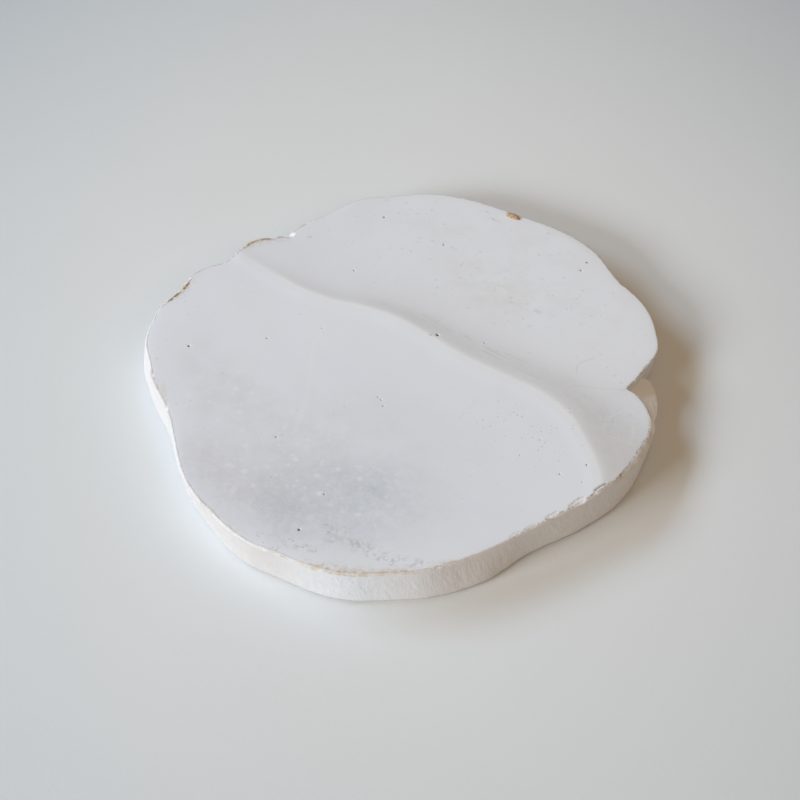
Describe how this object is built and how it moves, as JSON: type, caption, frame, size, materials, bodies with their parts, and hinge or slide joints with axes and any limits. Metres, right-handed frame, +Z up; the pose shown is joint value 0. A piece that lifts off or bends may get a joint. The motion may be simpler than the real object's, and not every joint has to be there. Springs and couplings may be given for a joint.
{
  "type": "plaster mold",
  "caption": "Cast plaster press mold: a free-form slab with an S-shaped step across its smooth face, a rough rim wall and a flat underside.",
  "frame": {"origin": "centre of the underside's bounding rectangle, on the surface the slab rests on", "axes": "+Z up through the worked face; +Y from the front rim across the step to the far lobe; +X towards the notch"},
  "size_m": [0.2335, 0.2371, 0.018],
  "materials": {
    "plaster_body": "matte, scraped, fine grained",
    "plaster_face": "satin, worn smooth, pinholed",
    "dried_clay": "matte, crumbly"
  },
  "bodies": {
    "root": {"body_pour": "plaster_body", "face_coat": "plaster_face", "cracked_corner": "plaster_face", "notch_flash": "plaster_body", "clay_crumb": "dried_clay"}
  },
  "joints": []
}
